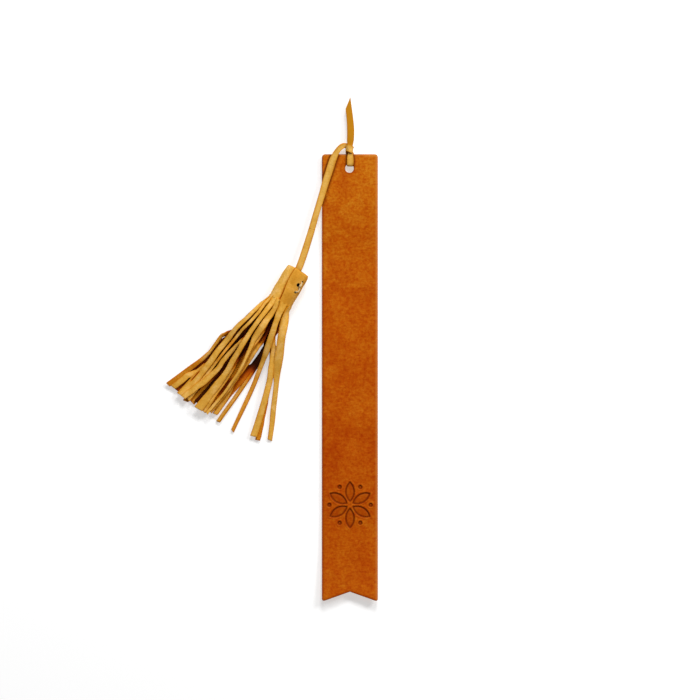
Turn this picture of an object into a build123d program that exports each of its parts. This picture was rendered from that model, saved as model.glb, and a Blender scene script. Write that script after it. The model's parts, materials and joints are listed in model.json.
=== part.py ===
import os
from math import ceil, cos, hypot, pi, radians, sin, sqrt

from build123d import *

os.makedirs("parts", exist_ok=True)

# Strip: one piece of leather that lies flat, with its hole end lifted by the lace behind it.
strip_length = 203.2
strip_width = 25.4
strip_thickness = 1.8
strip_corner_radius = 0.8
strip_edge_round = 0.35
notch_depth = 4.5
hole_diameter = 4.5
hole_inset = 6.9
lift_start = 51.6
lift_end = 15.6

# Stamp: six petals and six dots pressed into the face.
stamp_centre_y = -57.8
stamp_petal_inner = 1.4
stamp_petal_outer = 10.6
stamp_petal_width = 4.2
stamp_dot_radius = 9.4
stamp_dot_diameter = 1.7
stamp_depth = 0.25

# Lace: one flat strap that goes through the hole and is tied above the top edge.
lace_width = 3.0
lace_thickness = 1.0
lace_clear = 0.3
lace_bend_radius = 1.0
floor_clear = 0.2
loop_x = 0.2
hitch_thickness = 0.8
hitch_clear = 0.2
hitch_above_edge = 0.8
tail_length = 20.9
tail_lean = -1.1
tail_slant = 5.0
tail_drop = 1.6
lead_bow_radius = 22.0
lead_rise_radius = 18.0
lace_end_length = 12.0

# Route of the lead on the table, from the knot: first bend, second bend, fold.
lead_bend_one = (-3.0, -5.9)
lead_bend_two = (-6.2, -16.3)
lead_fold = (-10.0, -29.0)

# Tassel: one piece of hide, rolled at the top and cut into strands below.
head_from_knot = (-19.4, -55.1)
tassel_angle = 30.7
head_length = 16.4
band_thickness = 1.1
band_gap = 0.15
band_half_turns = 5
band_end_angle = 105.0
head_mouth_gap = 0.3

# Stitch: one thread through the outer layer of the roll.
thread_diameter = 0.8
thread_clear = 0.2
thread_bend_radius = 0.8
stitch_angle = 44.0
stitch_start = 4.3
stitch_length = 5.2

# Strands: width, gaps and how steeply one may climb over those below it.
strand_width = 2.4
strand_gap = 0.15
strand_root_gap = 0.2
strand_root_lift = 0.9
strand_lift_reach = 8.0
strand_slope = 0.42
strand_side_clear = 0.1
root_pitch = 2.7
station_step = 2.0

# Distances from the waist at which the strands' places across the fan are given.
path_near = 10.0
path_middle = 22.0
path_far = 38.0

# Strands from the lowest to the highest: row place at the root, places at near, middle, far and tip, length.
strand_paths = [
    (-0.5, -4.6, -4.8, -6.0, -10.1, 60.5),
    (0.5, 1.0, 3.2, 2.9, 0.9, 60.0),
    (0.0, -1.9, -1.6, -1.7, -4.3, 60.9),
    (-1.0, -7.3, -10.4, -14.0, -21.8, 59.0),
    (1.0, 3.9, 5.9, 5.6, 3.9, 62.2),
    (1.5, 6.8, 11.0, 17.7, 23.0, 60.0),
    (-1.5, -6.0, -9.8, -14.3, -19.3, 59.3),
    (-0.5, -3.3, -6.4, -9.0, -12.7, 61.8),
    (0.5, -0.2, -2.0, -4.3, -7.6, 59.5),
    (-1.0, -7.3, -13.0, -16.0, -24.3, 58.9),
    (0.0, -3.9, -3.9, -3.4, -5.6, 61.5),
    (1.0, 1.6, 1.0, 2.2, 1.0, 60.0),
    (-1.5, -6.4, -8.4, -10.7, -13.3, 60.5),
    (-0.5, -3.7, -5.8, -8.6, -13.9, 60.5),
    (0.5, 1.8, 1.9, 1.7, -1.6, 60.0),
    (1.5, 8.0, 11.0, 16.0, 20.7, 59.5),
    (-1.0, -8.0, -11.0, -13.0, -17.1, 60.5),
    (1.5, 8.6, 13.3, 20.5, 28.5, 57.1),
    (0.5, -1.0, -1.3, 0.3, -3.6, 61.4),
    (-0.5, -4.0, -4.6, -4.1, -6.8, 61.8),
    (0.9, 3.1, 6.1, 9.2, 11.8, 62.7),
]

# Heights and places that follow from the sizes above.
top_y = strip_length / 2
half_width = strip_width / 2
hole_radius = hole_diameter / 2
hole_y = top_y - hole_inset
end_raise = floor_clear + lace_thickness + lace_clear
back_z = floor_clear + lace_thickness / 2
front_z = end_raise + strip_thickness + lace_clear + lace_thickness / 2
hole_wall = sqrt(hole_radius**2 - (lace_width / 2 + abs(loop_x)) ** 2)
strap_y = hole_y + hole_wall - lace_clear - lace_thickness / 2
hitch_y = top_y + hitch_above_edge + lace_width / 2
hitch_inner_x = lace_width / 2 + hitch_clear
hitch_inner_z = lace_thickness / 2 + hitch_clear
hitch_outer_x = hitch_inner_x + hitch_thickness
hitch_outer_z = hitch_inner_z + hitch_thickness
under_z = front_z - hitch_outer_z - hitch_clear - lace_thickness / 2
joint_start = lace_thickness / 2 + lace_clear
tail_y = hitch_y + lace_width / 2 + lace_thickness / 2
knot_x = loop_x - hitch_outer_x - lace_clear - lace_width / 2
knot_y = hitch_y + lace_clear

band_pitch = band_thickness + band_gap
core_radius = hypot(lace_width / 2, lace_thickness / 2) + lace_clear
first_radius = core_radius + band_thickness / 2
last_radius = first_radius + (band_half_turns - 1) * band_pitch / 2
roll_radius = last_radius + band_thickness / 2
axis_z = roll_radius + floor_clear
along = Vector(-sin(radians(tassel_angle)), -cos(radians(tassel_angle)), 0)
across = Vector(cos(radians(tassel_angle)), -sin(radians(tassel_angle)), 0)
up = Vector(0, 0, 1)
head_top = Vector(knot_x + head_from_knot[0], knot_y + head_from_knot[1], 0)
waist = head_top + along * head_length
head_pivot = head_top - along * (lace_width / 2 + head_mouth_gap)

# One petal of the stamp, between two arcs.
petal_middle = (stamp_petal_inner + stamp_petal_outer) / 2
with BuildSketch(Plane.XY) as petal:
    with BuildLine():
        ThreePointArc(
            (stamp_petal_inner, 0),
            (petal_middle, stamp_petal_width / 2),
            (stamp_petal_outer, 0),
        )
        ThreePointArc(
            (stamp_petal_outer, 0),
            (petal_middle, -stamp_petal_width / 2),
            (stamp_petal_inner, 0),
        )
    make_face()

# Strip outline with the notch, cut to a side profile that rises to the hole end.
with BuildPart() as leather_strip:
    with BuildSketch(Plane.XY) as strip_outline:
        with BuildLine():
            Polyline(
                (-half_width, top_y),
                (half_width, top_y),
                (half_width, -top_y),
                (0, -top_y + notch_depth),
                (-half_width, -top_y),
                close=True,
            )
        make_face()
        corners = strip_outline.vertices().filter_by(lambda v: abs(v.X) > half_width / 2)
        fillet(corners, strip_corner_radius)
        with Locations((0, hole_y)):
            Circle(hole_radius, mode=Mode.SUBTRACT)
    extrude(amount=end_raise + strip_thickness)
    rise_start = top_y - lift_start
    rise_end = top_y - lift_end
    rise_middle = (rise_start + rise_end) / 2
    with BuildSketch(Plane.YZ):
        with BuildLine():
            low_flat = Line((-top_y, 0), (rise_start, 0))
            low_one = TangentArc((rise_start, 0), (rise_middle, end_raise / 2), tangent=(1, 0))
            low_two = TangentArc(low_one @ 1, (rise_end, end_raise), tangent=low_one % 1)
            low_end = Line((rise_end, end_raise), (top_y, end_raise))
            Line((top_y, end_raise), (top_y, end_raise + strip_thickness))
            Line((top_y, end_raise + strip_thickness), (rise_end, end_raise + strip_thickness))
            high_mid = (rise_middle, end_raise / 2 + strip_thickness)
            high_two = TangentArc((rise_end, end_raise + strip_thickness), high_mid, tangent=(-1, 0))
            TangentArc(high_two @ 1, (rise_start, strip_thickness), tangent=high_two % 1)
            Line((rise_start, strip_thickness), (-top_y, strip_thickness))
            Line((-top_y, strip_thickness), (-top_y, 0))
        make_face()
    extrude(amount=strip_width, both=True, mode=Mode.INTERSECT)
    rims = leather_strip.edges().filter_by(lambda e: abs(e.tangent_at(0.5).Z) < 0.5)
    fillet(rims, strip_edge_round)
    with BuildSketch(Plane.XY.offset(strip_thickness)):
        with Locations((0, stamp_centre_y)):
            with PolarLocations(0, 6, start_angle=90):
                add(petal.sketch)
            with PolarLocations(stamp_dot_radius, 6, start_angle=60):
                Circle(stamp_dot_diameter / 2)
    extrude(amount=-stamp_depth, mode=Mode.SUBTRACT)
leather_strip.part.label = "leather_strip"
export_step(leather_strip.part, "parts/leather_strip.step")

# Loop: up the front through the hitch, down through the hole and up again behind the strip.
with BuildPart() as lace_loop:
    with BuildSketch(Plane.YZ.offset(loop_x)):
        with BuildLine() as loop_route:
            loop_points = [
                (tail_y, front_z),
                (strap_y, front_z),
                (strap_y, back_z),
                (top_y + floor_clear, back_z),
                (hitch_y, under_z),
                (hitch_y + lace_width / 2, under_z),
            ]
            FilletPolyline(*loop_points, radius=lace_bend_radius)
        trace(line_width=lace_thickness)
        with Locations((tail_y, front_z)):
            Circle(lace_thickness / 2)
    extrude(amount=lace_width / 2, both=True)
lace_loop.part.label = "lace_loop"
export_step(lace_loop.part, "parts/lace_loop.step")

# Hitch: the turn of the lace round its own front band.
with BuildPart() as lace_hitch:
    hitch_plane = Plane(origin=(loop_x, hitch_y, front_z), x_dir=(1, 0, 0), z_dir=(0, -1, 0))
    with BuildSketch(hitch_plane):
        RectangleRounded(2 * hitch_outer_x, 2 * hitch_outer_z, hitch_outer_z * 0.6)
        RectangleRounded(2 * hitch_inner_x, 2 * hitch_inner_z, hitch_inner_z * 0.3, mode=Mode.SUBTRACT)
    extrude(amount=lace_width / 2, both=True)
lace_hitch.part.label = "lace_hitch"
export_step(lace_hitch.part, "parts/lace_hitch.step")

# Tail: the short end above the knot, cut on a slant and sinking a little.
with BuildPart() as lace_tail:
    tail_start = tail_y + joint_start
    tail_end = tail_start + tail_length
    with BuildSketch(Plane.YZ.offset(loop_x)):
        with BuildLine():
            tail_points = [
                (tail_start, front_z),
                (tail_start + tail_length / 3, front_z),
                (tail_end, front_z - tail_drop),
            ]
            FilletPolyline(*tail_points, radius=lead_rise_radius)
        trace(line_width=lace_thickness)
    extrude(amount=strip_width, both=True)
    with BuildSketch(Plane.XY):
        with BuildLine():
            Polyline(
                (loop_x - lace_width / 2, tail_start - lace_width),
                (loop_x + lace_width / 2, tail_start - lace_width),
                (loop_x + lace_width / 2, tail_start),
                (loop_x + lace_width / 2 + tail_lean, tail_end - lace_thickness / 2),
                (loop_x - lace_width / 2 + tail_lean, tail_end - tail_slant),
                (loop_x - lace_width / 2, tail_start),
                close=True,
            )
        make_face()
    extrude(amount=front_z + lace_thickness, mode=Mode.INTERSECT)
lace_tail.part.label = "lace_tail"
export_step(lace_tail.part, "parts/lace_tail.step")

# Upper lead: level over the strip's corner, round at the knot and at the fold.
knot = Vector(knot_x, knot_y, 0)
bend_one = knot + Vector(lead_bend_one[0], lead_bend_one[1], 0)
bend_two = knot + Vector(lead_bend_two[0], lead_bend_two[1], 0)
fold = knot + Vector(lead_fold[0], lead_fold[1], 0)
fold_along = (fold - bend_two).normalized()
fold_across = fold_along.cross(up)
with BuildPart() as lace_lead_upper:
    with BuildSketch(Plane.XY.offset(front_z - lace_thickness / 2)):
        with BuildLine() as upper_route:
            FilletPolyline(knot, bend_one, bend_two, fold, radius=lead_bow_radius)
        trace(line_width=lace_width)
        with Locations((knot.X, knot.Y)):
            Circle(lace_width / 2)
    extrude(amount=lace_thickness)
    with BuildSketch(Plane(origin=fold + up * front_z, x_dir=fold_along, z_dir=fold_across)):
        Circle(lace_thickness / 2)
    extrude(amount=lace_width / 2, both=True)
lace_lead_upper.part.label = "lace_lead_upper"
export_step(lace_lead_upper.part, "parts/lace_lead_upper.step")

# Lower lead: from the fold to the head's mouth, rising to the middle of the roll.
lower_run = head_pivot - fold
lower_along = lower_run.normalized()
lower_length = lower_run.length
lower_plane = Plane(origin=fold, x_dir=lower_along, z_dir=lower_along.cross(up))
with BuildPart() as lace_lead_lower:
    with BuildSketch(lower_plane):
        with BuildLine() as lower_route:
            lower_points = [
                (joint_start, front_z),
                (lower_length / 4, front_z),
                (lower_length * 3 / 4, axis_z),
                (lower_length, axis_z),
            ]
            FilletPolyline(*lower_points, radius=lead_rise_radius)
        trace(line_width=lace_thickness)
    extrude(amount=lace_width / 2, both=True)
    with BuildSketch(Plane.XY.offset(axis_z - lace_thickness / 2)):
        with Locations((head_pivot.X, head_pivot.Y)):
            Circle(lace_width / 2)
    extrude(amount=lace_thickness)
lace_lead_lower.part.label = "lace_lead_lower"
export_step(lace_lead_lower.part, "parts/lace_lead_lower.step")

# Head: the uncut top of the hide rolled round the end of the lace, its free edge on top.
roll_plane = Plane(origin=waist + up * axis_z, x_dir=across, z_dir=along)
spiral_turn = Rot(0, 0, band_end_angle + 180 * (band_half_turns % 2))
radial = across * cos(radians(stitch_angle)) + up * sin(radians(stitch_angle))
stitch_plane = Plane(origin=head_top + up * axis_z, x_dir=along, z_dir=along.cross(radial))
stitch_ends = (stitch_start, stitch_start + stitch_length)
with BuildPart() as tassel_head:
    with BuildSketch(roll_plane * spiral_turn):
        with BuildLine() as spiral:
            for turn in range(band_half_turns):
                turn_radius = first_radius + turn * band_pitch / 2
                turn_centre = band_pitch / 2 * (turn % 2)
                CenterArc((turn_centre, 0), turn_radius, 180 * (turn % 2), 180)
        trace(line_width=band_thickness)
    extrude(amount=-head_length)
    for place in stitch_ends:
        hole_start = last_radius - band_thickness / 2 - band_gap / 2
        hole_plane = Plane(
            origin=head_top + up * axis_z + along * place + radial * hole_start,
            x_dir=along,
            z_dir=radial,
        )
        with BuildSketch(hole_plane):
            Circle(thread_diameter / 2 + thread_clear)
        extrude(amount=band_pitch, mode=Mode.SUBTRACT)
tassel_head.part.label = "tassel_head"
export_step(tassel_head.part, "parts/tassel_head.step")

# End of the lace, inside the roll.
with BuildPart() as lace_end:
    with BuildSketch(Plane(origin=head_top + up * axis_z, x_dir=across, z_dir=along)):
        Rectangle(lace_width, lace_thickness)
    extrude(amount=lace_end_length)
lace_end.part.label = "lace_end"
export_step(lace_end.part, "parts/lace_end.step")

# Stitch: a short run on the surface with a leg in each hole.
thread_top = roll_radius + thread_diameter / 2 + thread_clear
thread_foot = last_radius - band_thickness / 2
with BuildPart() as stitch_thread:
    with BuildLine(stitch_plane) as thread_route:
        FilletPolyline(
            (stitch_ends[0], thread_foot),
            (stitch_ends[0], thread_top),
            (stitch_ends[1], thread_top),
            (stitch_ends[1], thread_foot),
            radius=thread_bend_radius,
        )
    with BuildSketch(Plane(origin=thread_route.line @ 0, z_dir=thread_route.line % 0)):
        Circle(thread_diameter / 2)
    sweep()
stitch_thread.part.label = "stitch_thread"
export_step(stitch_thread.part, "parts/stitch_thread.step")


# Place of a strand across the fan at a distance from the waist, on a smooth curve through its points.
def place_across(path, distance):
    knots = [0.0, path_near, path_middle, path_far, path[5]]
    values = [path[0] * root_pitch, path[1], path[2], path[3], path[4]]
    span = 0
    while span < 3 and distance > knots[span + 1]:
        span += 1
    slopes = []
    for end in (span, span + 1):
        before = max(end - 1, 0)
        after = min(end + 1, 4)
        slopes.append((values[after] - values[before]) / (knots[after] - knots[before]))
    width = knots[span + 1] - knots[span]
    part = (distance - knots[span]) / width
    start = (1 + 2 * part) * (1 - part) ** 2 * values[span] + part * (1 - part) ** 2 * width * slopes[0]
    finish = part**2 * (3 - 2 * part) * values[span + 1] + part**2 * (part - 1) * width * slopes[1]
    return start + finish


# How fast a strand moves sideways at a distance from the waist.
def side_slope(path, distance):
    step = station_step / 4
    low = max(distance - step, 0)
    return (place_across(path, distance + step) - place_across(path, low)) / (distance + step - low)


# Lowest height at which a strand rests on the table and on the strands below it.
def rest_heights(path, lower):
    needs = []
    for index, distance in enumerate(stations):
        lift = strand_root_lift * max(0, 1 - distance / strand_lift_reach)
        need = floor_clear + lift
        stretch = sqrt(1 + side_slope(path, distance) ** 2)
        for other, heights in lower:
            other_stretch = sqrt(1 + side_slope(other, distance) ** 2)
            reach = strand_width * (stretch + other_stretch) / 2 + strand_side_clear
            apart = abs(place_across(path, distance) - place_across(other, distance))
            if distance < other[5] + station_step and apart < reach:
                need = max(need, heights[index] + band_thickness + strand_gap)
        needs.append(need if distance < path[5] + station_step else 0)
    eased = []
    for distance in stations:
        climbs = [n - strand_slope * abs(distance - d) for n, d in zip(needs, stations)]
        eased.append(max(climbs))
    widest = [max(eased[max(i - 2, 0) : i + 3]) for i in range(len(eased))]
    smooth = []
    for index in range(len(widest)):
        near = widest[max(index - 2, 0) : index + 3]
        smooth.append(sum(near) / len(near))
    return smooth


longest = max(path[5] for path in strand_paths)
station_count = ceil((longest + 2 * station_step) / station_step) + 1
stations = [index * station_step for index in range(station_count)]
laid = []
for path in strand_paths:
    laid.append((path, rest_heights(path, laid)))

# Strands: each a flat finger of the hide, curved across the fan and down to the table.
fan_plane = Plane(origin=waist, x_dir=along, z_dir=up)
drop_plane = Plane(origin=waist, x_dir=along, z_dir=along.cross(up))
for number, (path, heights) in enumerate(laid, 1):
    marks = [strand_root_gap + (path[5] - strand_root_gap) * index / 9 for index in range(10)]
    left_edge = []
    right_edge = []
    for distance in marks:
        slope = side_slope(path, min(distance, path[5] - station_step))
        reach = strand_width / 2 / sqrt(1 + slope**2)
        place = place_across(path, distance)
        left_edge.append((distance + slope * reach, place - reach))
        right_edge.append((distance - slope * reach, place + reach))
    left_edge[0] = (strand_root_gap, left_edge[0][1])
    right_edge[0] = (strand_root_gap, right_edge[0][1])
    with BuildPart() as strand:
        with BuildSketch(fan_plane):
            with BuildLine():
                Spline(*left_edge)
                Line(left_edge[-1], right_edge[-1])
                Spline(*reversed(right_edge))
                Line(right_edge[0], left_edge[0])
            make_face()
        extrude(amount=2 * axis_z)
        with BuildSketch(drop_plane):
            with BuildLine():
                low_side = list(zip(stations, heights))[::2]
                high_side = [(d, z + band_thickness) for d, z in low_side]
                Spline(*low_side)
                Line(low_side[-1], high_side[-1])
                Spline(*reversed(high_side))
                Line(high_side[0], low_side[0])
            make_face()
        extrude(amount=longest, both=True, mode=Mode.INTERSECT)
    strand.part.label = f"strand_{number:02d}"
    export_step(strand.part, f"parts/strand_{number:02d}.step")
    print("strand", number, "root height", round(heights[0], 2), "tip height", round(heights[-3], 2))

# Lengths and volumes of the lace's runs, to compare with its section.
lace_section = lace_width * lace_thickness
for label, part, length in (
    ("loop", lace_loop, loop_route.wires()[0].length),
    ("upper lead", lace_lead_upper, upper_route.wires()[0].length),
    ("lower lead", lace_lead_lower, lower_route.wires()[0].length),
):
    expected = lace_section * length
    print(label, "length", round(length, 2), "volume", round(part.part.volume, 2), "section", round(expected, 2))
print("bend radii", lace_bend_radius, lead_bow_radius, lead_rise_radius, thread_bend_radius)
band_length = sum(pi * (first_radius + turn * band_pitch / 2) for turn in range(band_half_turns))
print("band unrolled", round(band_length, 2), "roll radius", round(roll_radius, 2))
print("waist", waist, "head pivot", head_pivot, "fold", fold, "knot", knot, "front", front_z, "axis", axis_z)
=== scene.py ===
import json
import math

import bpy
import numpy as np
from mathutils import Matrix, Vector


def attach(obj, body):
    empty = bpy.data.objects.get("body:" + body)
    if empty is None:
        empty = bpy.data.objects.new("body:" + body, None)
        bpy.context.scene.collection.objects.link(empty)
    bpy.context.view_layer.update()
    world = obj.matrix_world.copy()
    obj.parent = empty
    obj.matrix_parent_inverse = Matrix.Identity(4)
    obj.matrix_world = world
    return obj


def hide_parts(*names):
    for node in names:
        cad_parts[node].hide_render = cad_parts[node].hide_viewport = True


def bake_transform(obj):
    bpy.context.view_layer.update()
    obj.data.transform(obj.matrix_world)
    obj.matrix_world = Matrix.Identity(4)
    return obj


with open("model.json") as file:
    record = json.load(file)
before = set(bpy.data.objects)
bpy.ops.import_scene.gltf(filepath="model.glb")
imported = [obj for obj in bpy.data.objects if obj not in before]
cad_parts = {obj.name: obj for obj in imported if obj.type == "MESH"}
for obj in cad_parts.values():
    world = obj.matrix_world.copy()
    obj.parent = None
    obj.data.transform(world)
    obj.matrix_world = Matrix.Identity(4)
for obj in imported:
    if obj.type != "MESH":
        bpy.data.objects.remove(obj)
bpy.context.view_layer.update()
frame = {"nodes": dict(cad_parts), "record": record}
mm = 0.001
nodes = frame["nodes"]
print("frame loaded:", len(nodes), "nodes")


# small helpers

def deselectAll():
    if bpy.context.object and bpy.context.object.mode != "OBJECT":
        bpy.ops.object.mode_set(mode="OBJECT")
    bpy.ops.object.select_all(action="DESELECT")


def makeActive(obj):
    deselectAll()
    obj.select_set(True)
    bpy.context.view_layer.objects.active = obj


def editMode():
    bpy.ops.object.mode_set(mode="EDIT")


def objectMode():
    bpy.ops.object.mode_set(mode="OBJECT")


def applyModifiers(obj):
    makeActive(obj)
    for modifier in list(obj.modifiers):
        bpy.ops.object.modifier_apply(modifier=modifier.name)


def smoothShade(obj, angle):
    makeActive(obj)
    bpy.ops.object.shade_smooth_by_angle(angle=math.radians(angle))


def readPoints(obj):
    co = np.empty(len(obj.data.vertices) * 3)
    obj.data.vertices.foreach_get("co", co)
    return co.reshape(-1, 3)


def writePoints(obj, co):
    obj.data.vertices.foreach_set("co", np.asarray(co, dtype=float).ravel())
    obj.data.update()


def addGrid(name, across, along, size=2):
    deselectAll()
    bpy.ops.mesh.primitive_grid_add(x_subdivisions=across, y_subdivisions=along, size=size, calc_uvs=True)
    grid = bpy.context.object
    grid.name = name
    return grid


def selectOnly(obj, kind, test):
    # selects the faces or points that pass the test, and stays in edit mode
    makeActive(obj)
    editMode()
    bpy.ops.mesh.select_mode(type=kind)
    bpy.ops.mesh.select_all(action="DESELECT")
    objectMode()
    for element in obj.data.polygons if kind == "FACE" else obj.data.vertices:
        element.select = test(element)
    editMode()


def near(point, x, y, reachX, reachY):
    return abs(point.x / mm - x) < reachX and abs(point.y / mm - y) < reachY


def giveMaterials(obj, materials):
    obj.data.materials.clear()
    for material in materials:
        obj.data.materials.append(material)


def faceOutward(obj, flip=False):
    makeActive(obj)
    editMode()
    bpy.ops.mesh.select_all(action="SELECT")
    if flip:
        bpy.ops.mesh.flip_normals()
    else:
        bpy.ops.mesh.normals_make_consistent(inside=False)
    objectMode()


def thicken(obj, thickness, offset, rounded, segments, clamp=True):
    # a wall whose back and edge have the second and third material, with rounded edges
    wall = obj.modifiers.new("thickness", "SOLIDIFY")
    wall.thickness = thickness
    wall.offset = offset
    wall.material_offset = 1
    wall.material_offset_rim = 2
    rounding = obj.modifiers.new("edges", "BEVEL")
    rounding.width = rounded
    rounding.segments = segments
    rounding.limit_method = "ANGLE"
    rounding.angle_limit = math.radians(50)
    rounding.use_clamp_overlap = clamp
    applyModifiers(obj)


def smoothStep(low, high, x):
    t = np.clip((x - low) / (high - low), 0, 1)
    return t * t * (3 - 2 * t)


def unit(v):
    v = np.asarray(v, dtype=float)
    return v / np.maximum(np.linalg.norm(v, axis=-1, keepdims=True), 1e-12)


def runAlong(points):
    steps = np.linalg.norm(np.diff(points, axis=0), axis=1)
    return np.concatenate([[0], np.cumsum(steps)])


def rowsAt(x, xs, rows):
    return np.stack([np.interp(x, xs, rows[:, k]) for k in range(3)], axis=1)


def storeValue(obj, name, values):
    attribute = obj.data.attributes.get(name) or obj.data.attributes.new(name, "FLOAT", "POINT")
    attribute.data.foreach_set("value", np.asarray(values, dtype=np.float32))


# leather materials

def newMaterial(name):
    material = bpy.data.materials.new(name)
    material.use_nodes = True
    tree = material.node_tree
    return material, tree, tree.nodes["Principled BSDF"]


def setSockets(node, values):
    for key, value in values.items():
        node.inputs[key].default_value = value


def addNode(tree, kind, **sockets):
    node = tree.nodes.new(kind)
    setSockets(node, sockets)
    return node


def objectCoords(tree):
    return tree.nodes.new("ShaderNodeTexCoord").outputs["Object"]


def stretchedCoords(tree, coords, scale):
    node = addNode(tree, "ShaderNodeMapping", Scale=scale)
    tree.links.new(coords, node.inputs["Vector"])
    return node.outputs["Vector"]


def noiseNode(tree, coords, scale, detail, rough, distort=0.0):
    node = addNode(tree, "ShaderNodeTexNoise", Scale=scale, Detail=detail, Roughness=rough,
                   Distortion=distort)
    tree.links.new(coords, node.inputs["Vector"])
    return node.outputs["Fac"]


def rampNode(tree, value, stops):
    node = tree.nodes.new("ShaderNodeValToRGB")
    while len(node.color_ramp.elements) < len(stops):
        node.color_ramp.elements.new(0.5)
    for element, (place, colour) in zip(node.color_ramp.elements, stops):
        element.position = place
        element.color = (*colour, 1)
    tree.links.new(value, node.inputs["Fac"])
    return node.outputs["Color"]


def mixColour(tree, amount, one, two, blend="MIX"):
    node = tree.nodes.new("ShaderNodeMix")
    node.data_type = "RGBA"
    node.blend_type = blend
    for socket, value in ((node.inputs[0], amount), (node.inputs[6], one), (node.inputs[7], two)):
        if hasattr(value, "links"):
            tree.links.new(value, socket)
        else:
            socket.default_value = value if isinstance(value, float) else (*value, 1)
    return node.outputs[2]


def tinted(tree, tone, value, stops):
    return mixColour(tree, 1.0, tone, rampNode(tree, value, stops), "MULTIPLY")


def mathNode(tree, operation, *values):
    node = tree.nodes.new("ShaderNodeMath")
    node.operation = operation
    for socket, value in zip(node.inputs, values):
        if hasattr(value, "links"):
            tree.links.new(value, socket)
        else:
            socket.default_value = value
    return node.outputs[0]


def attributeValue(tree, name):
    node = tree.nodes.new("ShaderNodeAttribute")
    node.attribute_name = name
    return node.outputs["Fac"]


def bumpNode(tree, height, strength, distance, under=None):
    node = addNode(tree, "ShaderNodeBump", Strength=strength, Distance=distance)
    tree.links.new(height, node.inputs["Height"])
    if under is not None:
        tree.links.new(under, node.inputs["Normal"])
    return node.outputs["Normal"]


stripLook = {
    "tones": [(0.30, (0.415, 0.060, 0.0008)), (0.50, (0.460, 0.086, 0.0010)),
              (0.70, (0.505, 0.118, 0.0020))],
    "cloudTones": [(0.34, (0.95, 0.78, 0.6)), (0.50, (1.0, 1.0, 1.0)), (0.66, (1.03, 1.20, 1.8))],
    "speckTones": [(0.35, (0.86, 0.62, 0.5)), (0.50, (1.0, 1.0, 1.0)), (0.65, (1.09, 1.32, 2.6))],
    "streakTones": [(0.38, (0.95, 0.88, 0.8)), (0.62, (1.05, 1.12, 1.2))],
    # from the foot to the hole end, which is yellower and lighter
    "endTones": [(0.0, (1.0, 0.95, 0.9)), (0.3, (0.96, 0.80, 0.9)), (0.6, (0.98, 0.92, 1.0)),
                 (1.0, (1.0, 1.25, 2.0))],
    "backTones": [(0.3, (0.40, 0.150, 0.035)), (0.7, (0.56, 0.260, 0.085))],
    "edgeTones": [(0.3, (0.34, 0.075, 0.003)), (0.7, (0.48, 0.125, 0.010))],
    "sheenTone": (1.0, 0.46, 0.08), "sheen": 0.30,
    "blotchScale": 60.0, "cloudScale": 230.0, "speckScale": 860.0, "grainScale": 1500.0,
    "streakScale": 1300.0, "streakStretch": (0.3, 1.0, 1.0),
    "wrinkleScale": 330.0, "wrinkleStretch": (1.0, 0.35, 1.0), "backScale": 900.0, "edgeScale": 700.0,
    # turns the place along the strip into a share of its length
    "perMetre": 4.9,
    "roughness": [(0.3, (0.42, 0.42, 0.42)), (0.7, (0.60, 0.60, 0.60))],
    # tones of the painted highlight on the lit edges, the burnished edge with painted edge shade, the
    # pressed mark and the painted shade line beside the lace
    "paintedEdgeHighlight": (0.60, 0.23, 0.050),
    "shadedBurnishEdge": (0.20, 0.022, 0.0006),
    "pressed": (0.150, 0.012, 0.0004),
    "laceShade": (0.115, 0.012, 0.0004),
}


def stripFaceMaterial(look):
    material, tree, shader = newMaterial("stripGrainFace")
    coords = objectCoords(tree)
    blotch = noiseNode(tree, coords, look["blotchScale"], 6, 0.62, 0.6)
    tone = rampNode(tree, blotch, look["tones"])
    cloud = noiseNode(tree, coords, look["cloudScale"], 5, 0.7, 0.8)
    tone = tinted(tree, tone, cloud, look["cloudTones"])
    speck = noiseNode(tree, coords, look["speckScale"], 4, 0.7)
    tone = tinted(tree, tone, speck, look["speckTones"])
    across = stretchedCoords(tree, coords, look["streakStretch"])
    streak = noiseNode(tree, across, look["streakScale"], 3, 0.6)
    tone = tinted(tree, tone, streak, look["streakTones"])
    split = tree.nodes.new("ShaderNodeSeparateXYZ")
    tree.links.new(coords, split.inputs[0])
    along = mathNode(tree, "MULTIPLY_ADD", split.outputs["Y"], look["perMetre"], 0.5)
    tone = tinted(tree, tone, along, look["endTones"])
    # painted edge highlight, burnished edge with painted shade, pressed mark and painted shade line by the
    # lace
    for attribute in ("paintedEdgeHighlight", "shadedBurnishEdge", "pressed", "laceShade"):
        tone = mixColour(tree, attributeValue(tree, attribute), tone, look[attribute])
    tree.links.new(tone, shader.inputs["Base Color"])
    tree.links.new(rampNode(tree, blotch, look["roughness"]), shader.inputs["Roughness"])
    setSockets(shader, {"Specular IOR Level": look["sheen"], "Specular Tint": (*look["sheenTone"], 1)})
    cells = addNode(tree, "ShaderNodeTexVoronoi", Scale=look["grainScale"])
    cells.feature = "SMOOTH_F1"
    tree.links.new(coords, cells.inputs["Vector"])
    stretch = stretchedCoords(tree, coords, look["wrinkleStretch"])
    wrinkle = noiseNode(tree, stretch, look["wrinkleScale"], 5, 0.6, 1.2)
    fine = bumpNode(tree, cells.outputs["Distance"], 0.25, 0.00012)
    both = bumpNode(tree, wrinkle, 0.35, 0.00025, fine)
    tree.links.new(both, shader.inputs["Normal"])
    return material


# what shaded leather keeps of its tone, from the open to deep between the strands
shadeRamp = [(0.0, (1, 1, 1)), (0.22, (0.90, 0.59, 0.11)), (0.50, (0.55, 0.165, 0.013)),
             (0.76, (0.16, 0.028, 0.005)), (1.0, (0.020, 0.004, 0.003))]


def shaded(tree, tone, share=1.0):
    depth = mathNode(tree, "MULTIPLY", attributeValue(tree, "paintedShade"), share)
    return tinted(tree, tone, depth, shadeRamp)


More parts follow.
